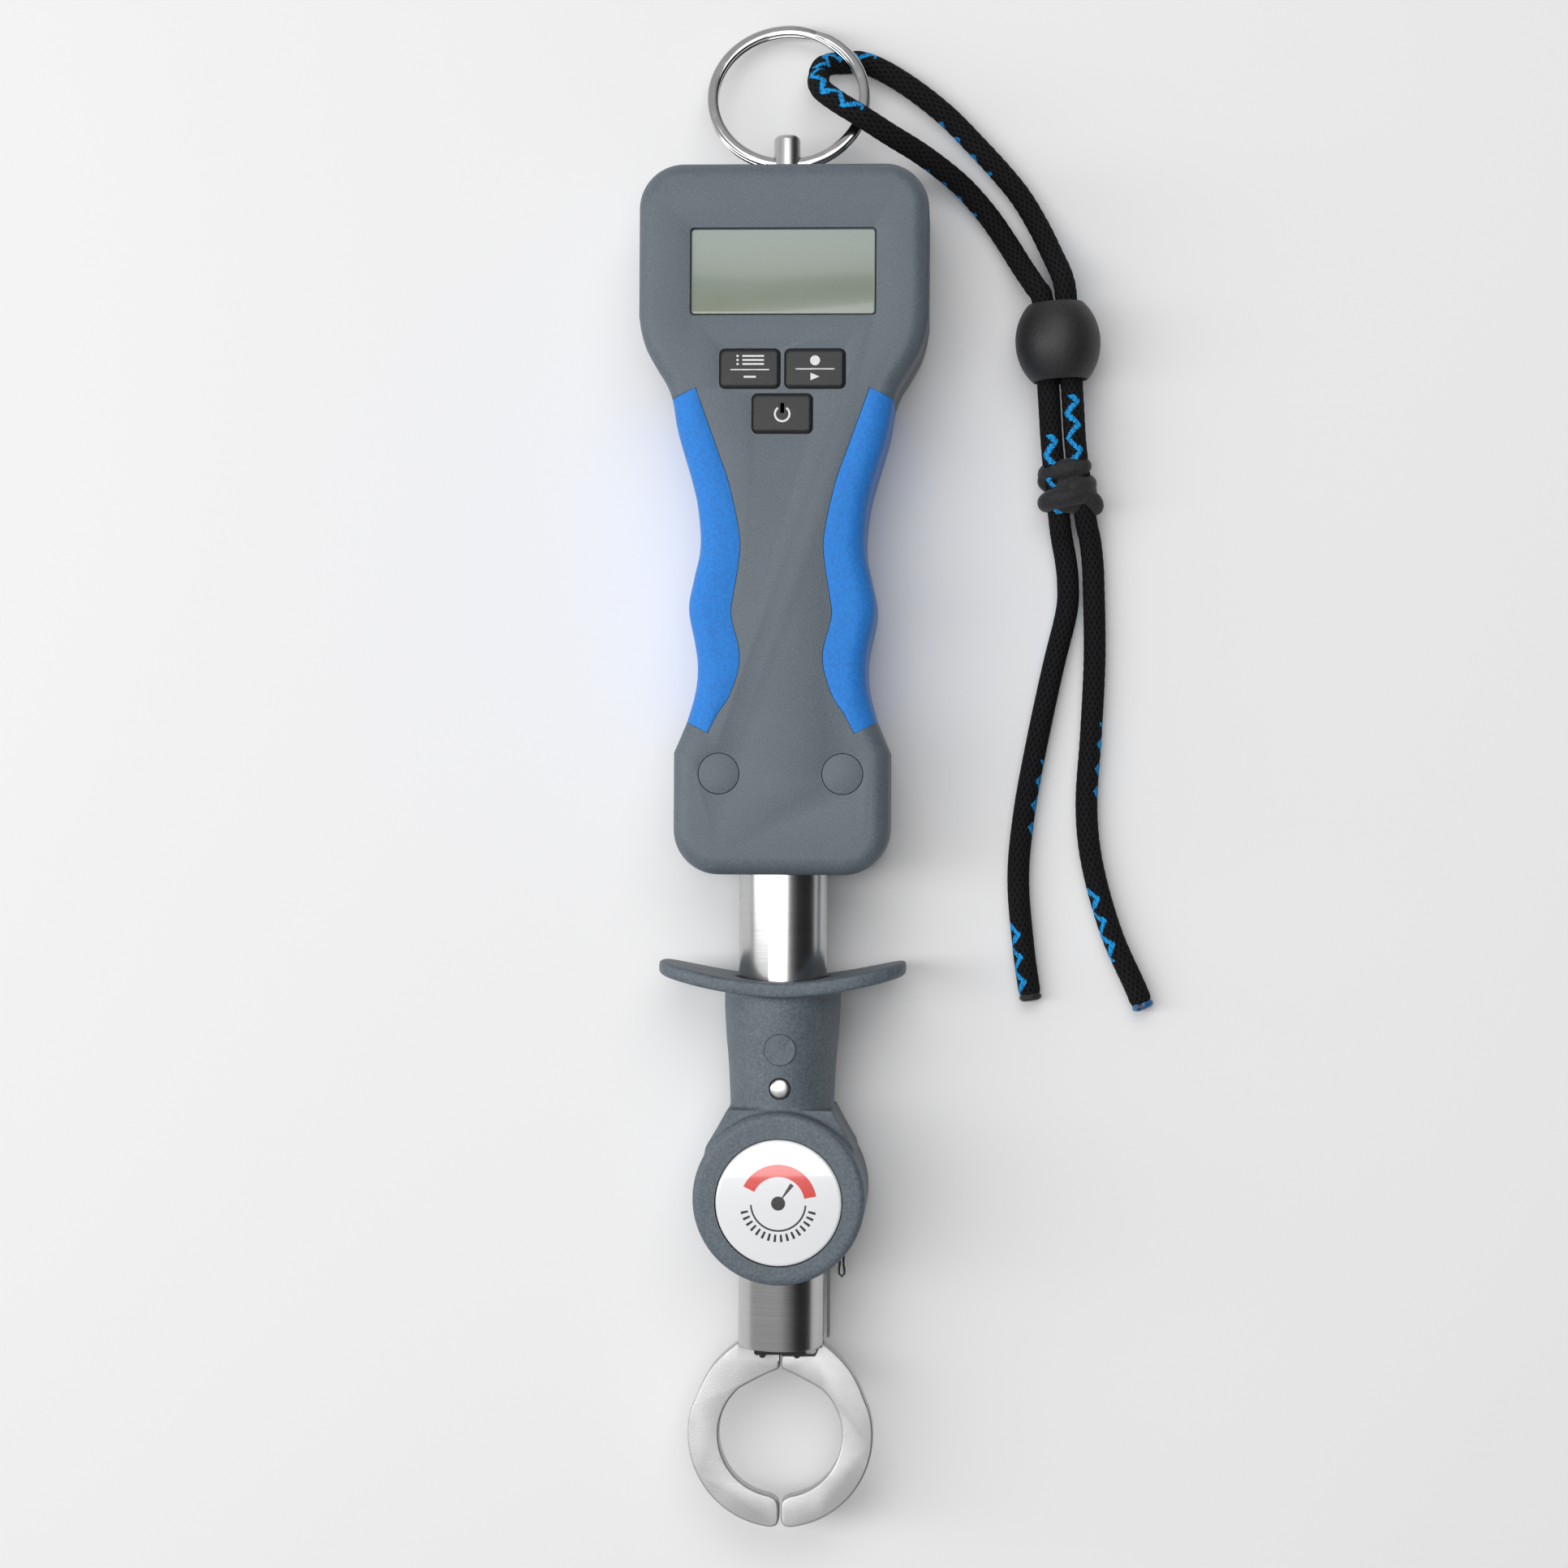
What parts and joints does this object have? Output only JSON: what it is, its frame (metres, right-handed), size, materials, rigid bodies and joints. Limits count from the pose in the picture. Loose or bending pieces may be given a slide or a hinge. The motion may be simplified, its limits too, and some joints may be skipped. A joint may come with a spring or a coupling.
{
  "type": "digital fish scale",
  "caption": "Hand-held digital scale with a lip gripper: display handle, sliding finger collar on a tube, two coupled ring jaws, split ring and a wrist lanyard.",
  "frame": {"origin": "middle of the box of the scale without its lanyard, on the surface that it lies on", "axes": "+Z out of the display, +Y from the jaws to the split ring, +X to the right of the display"},
  "size_m": [0.1109, 0.3258, 0.0304],
  "materials": {
    "housing": "fine grained moulded grey",
    "slider": "speckled moulded grey",
    "plug": "satin moulded grey",
    "grip": "soft blue overmould",
    "rubber": "matt black",
    "key": "matt black with white marks",
    "window": "clear hard-coated",
    "panel": "grey-green liquid crystal panel",
    "board": "solder mask",
    "steel": "brushed stainless",
    "jaw": "satin stainless",
    "ring": "polished",
    "fastener": "zinc plated",
    "aluminium": "machined",
    "badge": "domed white",
    "cell": "printed sleeve",
    "bead": "satin moulded black",
    "cord": "braided cord, black with blue marks"
  },
  "bodies": {
    "root": {"front_shell": "housing", "back_shell": "housing", "battery_cover": "housing", "left_screw_plug": "plug", "right_screw_plug": "plug", "housing_seal_left": "rubber", "housing_seal_right": "rubber", "cover_seal": "rubber", "left_grip": "grip", "right_grip": "grip", "lcd_window": "window", "lcd_panel": "panel", "circuit_board": "board", "key_mat": "rubber", "housing_screw_low_left": "fastener", "housing_screw_low_right": "fastener", "housing_screw_high_left": "fastener", "housing_screw_high_right": "fastener", "cover_screw": "fastener", "battery_left": "cell", "battery_right": "cell", "battery_contact_lower": "fastener", "battery_contact_upper": "fastener", "load_cell": "aluminium", "load_cell_bolt_lower": "fastener", "load_cell_bolt_upper": "fastener", "anchor_bracket": "steel", "ring_stud": "steel", "tube": "steel", "tube_plug": "steel", "tube_cross_pin": "fastener", "tube_bush": "rubber", "jaw_pivot_pin": "fastener", "jaw_spacer_front": "rubber", "jaw_spacer_back": "rubber", "return_spring": "fastener", "lanyard_strand_upper": "cord", "lanyard_strand_lower": "cord", "lanyard_knot": "cord", "lanyard_tail_left": "cord", "lanyard_tail_right": "cord"},
    "slider": {"slider_front": "slider", "slider_back": "slider", "slider_badge": "badge", "slider_plug": "plug", "slider_pin": "fastener", "slider_screw_left": "fastener", "slider_screw_right": "fastener", "plunger": "steel", "drive_pin": "fastener", "guide_strip": "steel", "wire_clip": "steel"},
    "jaw_left": {"jaw_left": "jaw"},
    "jaw_right": {"jaw_right": "jaw"},
    "ring": {"split_ring": "ring", "lanyard_bight": "cord"},
    "bead": {"lanyard_bead": "bead"},
    "key_memory": {"key_memory": "key"},
    "key_record": {"key_record": "key"},
    "key_power": {"key_power": "key"}
  },
  "joints": [
    {"name": "slider_slide", "type": "slide", "parent": "root", "child": "slider", "axis": [0, 1, 0], "range_m": [0, 0.01], "stiffness_N_per_m": 300, "springref_m": -0.004, "deforming": ["return_spring"]},
    {"name": "jaw_left_pivot", "type": "hinge", "parent": "root", "child": "jaw_left", "pos_m": [0, -0.11923, 0.015], "axis": [0, 0, 1], "range_deg": [-28, 0]},
    {"name": "jaw_right_pivot", "type": "hinge", "parent": "root", "child": "jaw_right", "pos_m": [0, -0.11923, 0.015], "axis": [0, 0, 1], "range_deg": [0, 28]},
    {"name": "ring_swing", "type": "hinge", "parent": "root", "child": "ring", "pos_m": [0, 0.13067, 0.015], "axis": [1, 0, 0], "range_deg": [0, 80]},
    {"name": "bead_slide", "type": "slide", "parent": "root", "child": "bead", "axis": [0.0687, -0.9976, 0], "range_m": [0, 0.013]},
    {"name": "key_memory_press", "type": "slide", "parent": "root", "child": "key_memory", "axis": [0, 0, -1], "range_m": [0, 0.0008], "stiffness_N_per_m": 500},
    {"name": "key_record_press", "type": "slide", "parent": "root", "child": "key_record", "axis": [0, 0, -1], "range_m": [0, 0.0008], "stiffness_N_per_m": 500},
    {"name": "key_power_press", "type": "slide", "parent": "root", "child": "key_power", "axis": [0, 0, -1], "range_m": [0, 0.0008], "stiffness_N_per_m": 500}
  ],
  "couplings": [
    {"joint": "jaw_left_pivot", "follows": "slider_slide", "rad_per_m": -48.869},
    {"joint": "jaw_right_pivot", "follows": "slider_slide", "rad_per_m": 48.869}
  ]
}
